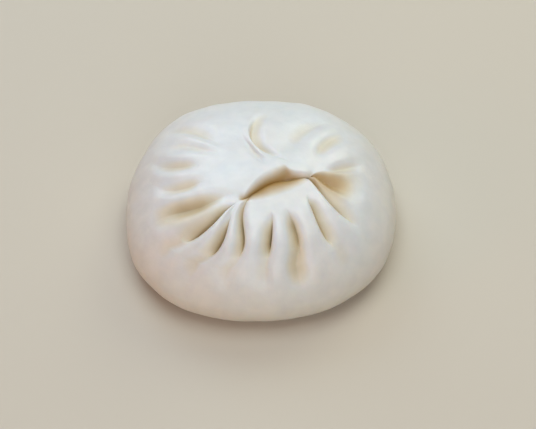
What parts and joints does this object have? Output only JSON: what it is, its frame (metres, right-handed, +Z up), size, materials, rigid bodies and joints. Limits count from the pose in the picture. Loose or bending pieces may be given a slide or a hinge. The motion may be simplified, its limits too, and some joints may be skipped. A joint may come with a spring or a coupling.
{
  "type": "steamed bun",
  "caption": "Large round steamed bun with radial dough pleats gathered into an off-centre pinched seam, flat underneath, to serve or place on a tray or in a steamer.",
  "frame": {"origin": "middle of the flat underside, on the surface that the bun stands on", "axes": "+Z up through the crown; -Y towards the side with the deep pleats, +Y towards the smooth back; +X to the right seen from the pleated side"},
  "size_m": [0.1111, 0.1101, 0.0447],
  "materials": {
    "dough": "soft steamed white dough, satin"
  },
  "bodies": {
    "root": {"bun": "dough"}
  },
  "joints": []
}
